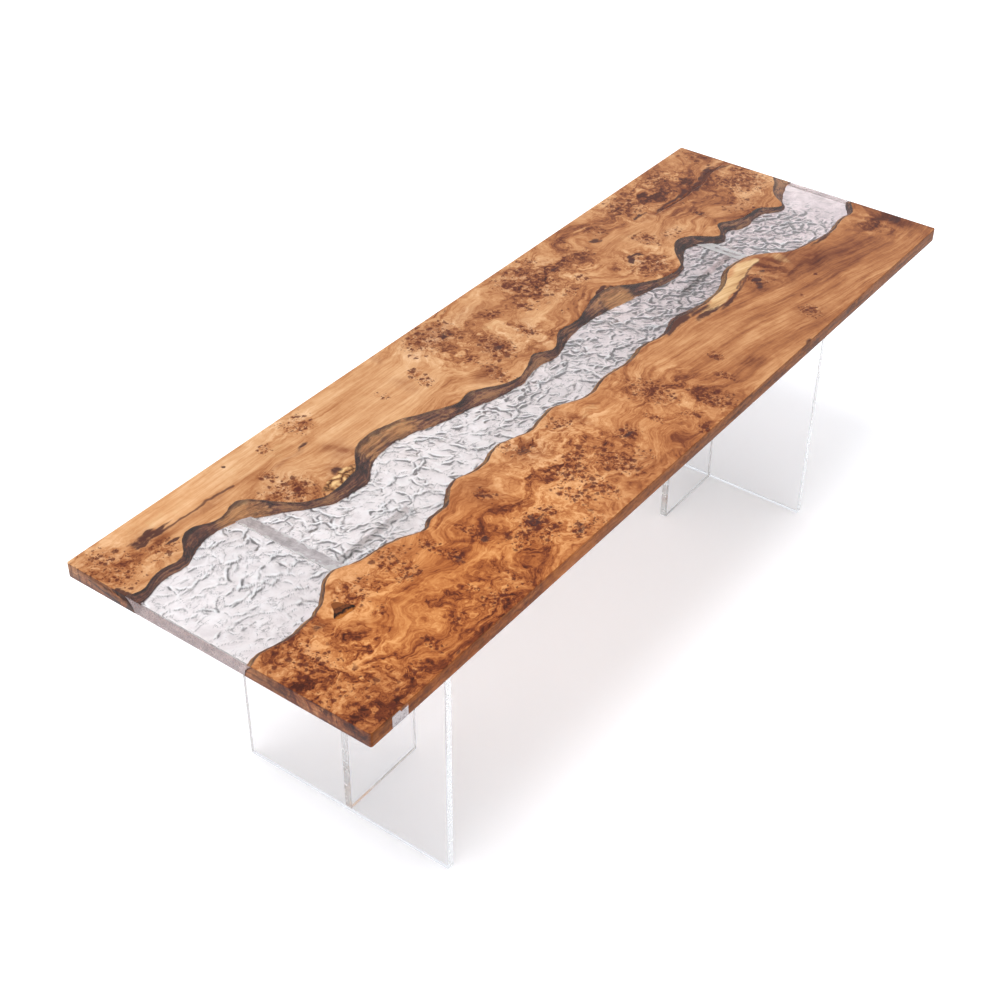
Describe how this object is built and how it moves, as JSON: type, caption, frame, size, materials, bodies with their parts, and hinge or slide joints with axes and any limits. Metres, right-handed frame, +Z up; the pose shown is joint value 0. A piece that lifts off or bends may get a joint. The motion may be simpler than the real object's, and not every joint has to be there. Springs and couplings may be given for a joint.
{
  "type": "river table",
  "caption": "Rectangular dining table of live-edge burl slabs joined by a clear resin river, standing on clear acrylic T-shaped pedestals.",
  "frame": {"origin": "on the floor, under the middle of the top", "axes": "+X along the table to its far end, +Y to the left slab, +Z up"},
  "size_m": [2.4, 0.815, 0.75],
  "materials": {
    "burl_wood": "clear satin lacquer over figured burl",
    "clear_resin": "clear cast resin, polished top, crinkled underside",
    "dark_resin": "dark tinted resin sanded flush",
    "clear_acrylic": "clear sheet with polished edges",
    "bar_metal": "brushed along its length",
    "screw_steel": "zinc plated"
  },
  "bodies": {
    "root": {"left_slab": "burl_wood", "right_slab": "burl_wood", "river_casting": "clear_resin", "crack_fill": "dark_resin", "knot_pocket_fill": "dark_resin", "edge_void_fill": "clear_resin", "bar_screws": "screw_steel", "near_mounting_bar": "bar_metal", "near_cross_panel": "clear_acrylic", "near_stem_panel": "clear_acrylic", "far_mounting_bar": "bar_metal", "far_cross_panel": "clear_acrylic", "far_stem_panel": "clear_acrylic"}
  },
  "joints": []
}
